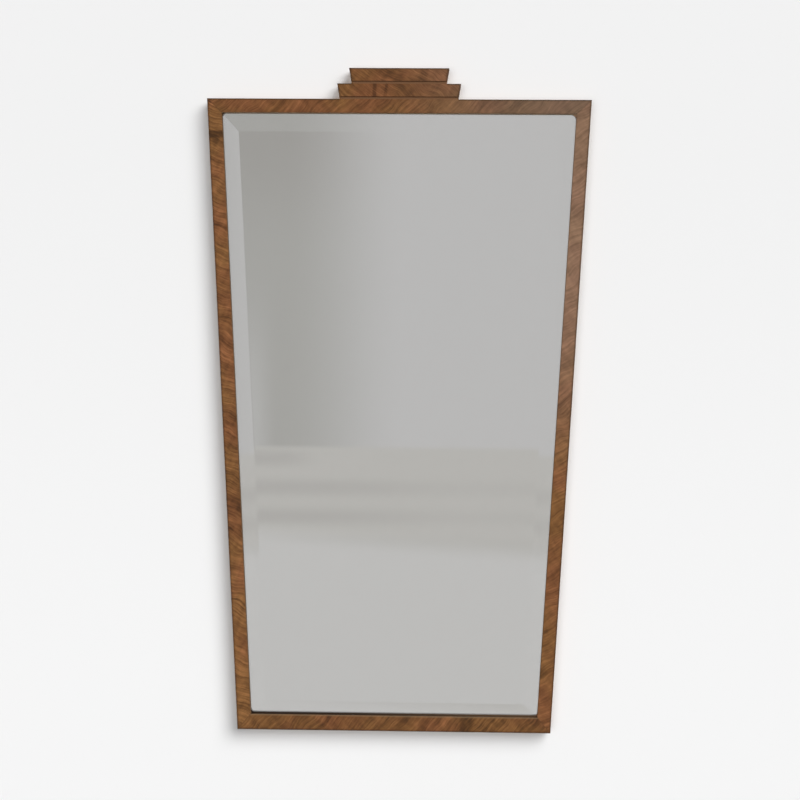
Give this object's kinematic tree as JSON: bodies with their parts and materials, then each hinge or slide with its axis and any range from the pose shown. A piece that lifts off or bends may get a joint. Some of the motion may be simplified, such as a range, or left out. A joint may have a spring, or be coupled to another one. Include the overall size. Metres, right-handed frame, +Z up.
{
  "type": "wall mirror",
  "caption": "Tapered wall mirror with a stepped crest, bevelled glass in a mitred veneered frame, hung by rings at its back.",
  "frame": {"origin": "on the wall plane, midway between the two wall hooks, at the height where the hanger rings bear on them", "axes": "+X to the right seen from the front, +Y into the wall, +Z up; the mirror faces -Y"},
  "size_m": [0.48, 0.0245, 0.8286],
  "materials": {
    "core_wood": "bare sawn pine, blackened at the sight edge",
    "face_veneer": "figured cross-banded veneer, worn satin polish",
    "edge_banding": "thin veneer strip, satin polish",
    "hardwood": "bare beech",
    "glass": "clear polished plate, bevelled all round",
    "silver": "silvered, with a red-brown backing paint",
    "cork": "pressed cork",
    "batten_wood": "bare planed softwood",
    "steel": "dull wire",
    "plywood": "bare birch plywood, aged",
    "brass": "tarnished"
  },
  "bodies": {
    "mirror": {"top_rail": "core_wood", "bottom_rail": "core_wood", "left_stile": "core_wood", "right_stile": "core_wood", "crest_lower_block": "core_wood", "crest_upper_block": "core_wood", "top_rail_veneer": "face_veneer", "bottom_rail_veneer": "face_veneer", "left_stile_veneer": "face_veneer", "right_stile_veneer": "face_veneer", "crest_lower_veneer": "face_veneer", "crest_upper_veneer": "face_veneer", "top_edge_banding": "edge_banding", "bottom_edge_banding": "edge_banding", "left_edge_banding": "edge_banding", "right_edge_banding": "edge_banding", "crest_lower_banding": "edge_banding", "crest_upper_banding": "edge_banding", "corner_splines": "hardwood", "crest_dowels": "hardwood", "tier_dowels": "hardwood", "mirror_glass": "glass", "silver_backing": "silver", "setting_blocks": "cork", "glass_spacers": "cork", "wall_pads": "cork", "top_batten": "batten_wood", "bottom_batten": "batten_wood", "left_batten": "batten_wood", "right_batten": "batten_wood", "batten_pins": "steel", "back_panel": "plywood", "turn_button_screws": "brass", "left_hanger_strap": "brass", "right_hanger_strap": "brass", "hanger_screws": "brass"},
    "left_ring": {"left_hanger_ring": "brass"},
    "right_ring": {"right_hanger_ring": "brass"},
    "button_top": {"turn_button_top": "brass"},
    "button_bottom": {"turn_button_bottom": "brass"},
    "button_left_lower": {"turn_button_left_lower": "brass"},
    "button_left_upper": {"turn_button_left_upper": "brass"},
    "button_right_lower": {"turn_button_right_lower": "brass"},
    "button_right_upper": {"turn_button_right_upper": "brass"}
  },
  "joints": [
    {"name": "left_ring_swing", "type": "hinge", "parent": "mirror", "child": "left_ring", "pos_m": [-0.22535, -0.00264, -0.01299], "axis": [-1, 0, 0], "range_deg": [0, 174]},
    {"name": "right_ring_swing", "type": "hinge", "parent": "mirror", "child": "right_ring", "pos_m": [0.22535, -0.00264, -0.01299], "axis": [-1, 0, 0], "range_deg": [0, 174]},
    {"name": "top_button_turn", "type": "hinge", "parent": "mirror", "child": "button_top", "pos_m": [0, -0.0045, 0.10375], "axis": [0, 1, 0], "continuous": true},
    {"name": "bottom_button_turn", "type": "hinge", "parent": "mirror", "child": "button_bottom", "pos_m": [0, -0.0045, -0.67375], "axis": [0, 1, 0], "continuous": true},
    {"name": "left_lower_button_turn", "type": "hinge", "parent": "mirror", "child": "button_left_lower", "pos_m": [-0.19962, -0.0045, -0.5027], "axis": [0, 1, 0], "continuous": true},
    {"name": "left_upper_button_turn", "type": "hinge", "parent": "mirror", "child": "button_left_upper", "pos_m": [-0.21954, -0.0045, -0.14505], "axis": [0, 1, 0], "continuous": true},
    {"name": "right_lower_button_turn", "type": "hinge", "parent": "mirror", "child": "button_right_lower", "pos_m": [0.19962, -0.0045, -0.5027], "axis": [0, 1, 0], "continuous": true},
    {"name": "right_upper_button_turn", "type": "hinge", "parent": "mirror", "child": "button_right_upper", "pos_m": [0.21954, -0.0045, -0.14505], "axis": [0, 1, 0], "continuous": true}
  ]
}
